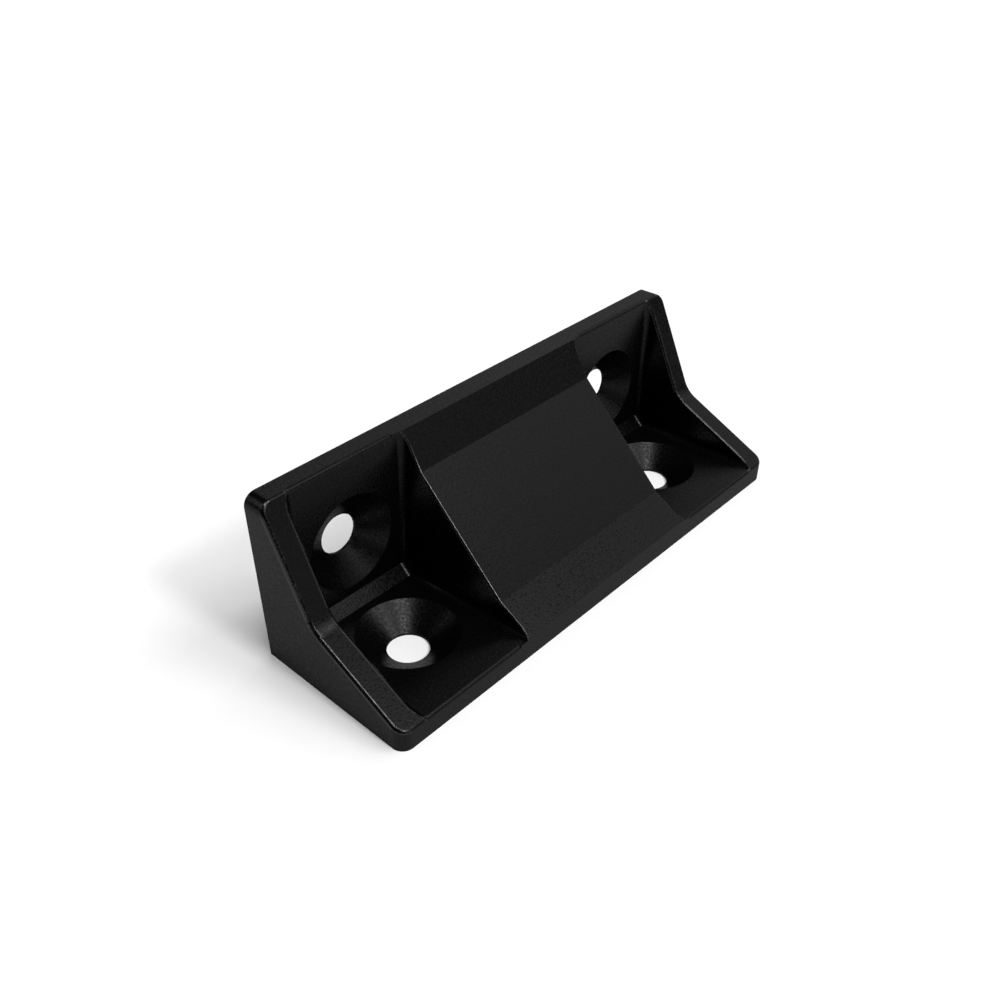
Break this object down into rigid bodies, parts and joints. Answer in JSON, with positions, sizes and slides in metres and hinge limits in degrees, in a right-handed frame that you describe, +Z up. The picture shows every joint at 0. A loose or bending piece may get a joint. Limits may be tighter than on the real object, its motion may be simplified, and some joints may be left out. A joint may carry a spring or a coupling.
{
  "type": "t slot corner bracket",
  "caption": "Inner corner bracket for slotted framing: two flanges at right angles, a solid block across the middle and an end wall at each end, with countersunk bolt holes in open pockets.",
  "frame": {"origin": "halfway along the corner line where the two mounting faces meet", "axes": "+Z up, square to the base mounting face; +Y square to the back mounting face and pointing out of it; X along the corner"},
  "size_m": [0.12, 0.0375, 0.0375],
  "materials": {
    "black_powder_coat": "satin black powder coat with a fine sandy texture"
  },
  "bodies": {
    "root": {"bracket": "black_powder_coat"}
  },
  "joints": []
}
